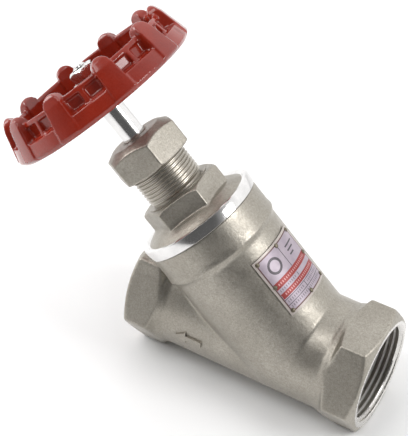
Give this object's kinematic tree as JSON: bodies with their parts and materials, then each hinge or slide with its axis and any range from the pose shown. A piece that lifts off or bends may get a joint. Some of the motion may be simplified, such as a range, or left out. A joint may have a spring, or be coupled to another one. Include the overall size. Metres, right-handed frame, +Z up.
{
  "type": "globe valve",
  "caption": "Y-pattern globe valve with female threaded hexagonal ends, an inclined screwed bonnet, a rising stem and a lobed handwheel.",
  "frame": {"origin": "centre of the bounding box's floor, on which the lower flats of both hexagons stand", "axes": "+X along the pipe towards the inlet, +Y horizontal across the pipe, +Z up; the stem leans 45 degrees towards -X"},
  "size_m": [0.1624, 0.0822, 0.1494],
  "materials": {
    "cast_stainless": "matt, bead-blasted investment casting",
    "turned_stainless": "bright turned stainless steel",
    "red_enamel": "glossy red epoxy enamel",
    "ptfe": "white fluoropolymer",
    "nameplate_foil": "satin, printed"
  },
  "bodies": {
    "valve_body": {"body_casting": "cast_stainless", "bonnet": "cast_stainless", "bonnet_gasket": "ptfe", "packing_ring_1": "ptfe", "packing_ring_2": "ptfe", "packing_ring_3": "ptfe", "packing_ring_4": "ptfe", "nameplate": "nameplate_foil", "nameplate_rivet_1": "turned_stainless", "nameplate_rivet_2": "turned_stainless", "nameplate_rivet_3": "turned_stainless", "nameplate_rivet_4": "turned_stainless", "nameplate_rivet_5": "turned_stainless", "nameplate_rivet_6": "turned_stainless", "nameplate_rivet_7": "turned_stainless", "nameplate_rivet_8": "turned_stainless"},
    "disc": {"disc_holder": "turned_stainless", "seat_disc": "ptfe", "disc_washer": "turned_stainless", "disc_nut": "turned_stainless", "disc_collar": "turned_stainless"},
    "stem_and_wheel": {"stem": "turned_stainless", "handwheel": "red_enamel", "wheel_washer": "turned_stainless", "wheel_nut": "turned_stainless"},
    "gland": {"packing_follower": "turned_stainless"},
    "gland_nut": {"packing_nut": "cast_stainless"}
  },
  "joints": [
    {"name": "disc_lift", "type": "slide", "parent": "valve_body", "child": "disc", "axis": [-0.7071, 0, 0.7071], "range_m": [0, 0.0121]},
    {"name": "handwheel_turn", "type": "hinge", "parent": "disc", "child": "stem_and_wheel", "pos_m": [0.04419, 0, 0.024], "axis": [-0.7071, 0, 0.7071], "range_deg": [0, 1440]},
    {"name": "gland_slide", "type": "slide", "parent": "valve_body", "child": "gland", "axis": [-0.7071, 0, 0.7071], "range_m": [0, 0.0016]},
    {"name": "packing_nut_turn", "type": "hinge", "parent": "gland", "child": "gland_nut", "pos_m": [0.04419, 0, 0.024], "axis": [-0.7071, 0, 0.7071], "range_deg": [0, 360]}
  ],
  "couplings": [
    {"joint": "disc_lift", "follows": "handwheel_turn", "m_per_rad": 0.00047746},
    {"joint": "gland_slide", "follows": "packing_nut_turn", "m_per_rad": 0.00023873}
  ]
}
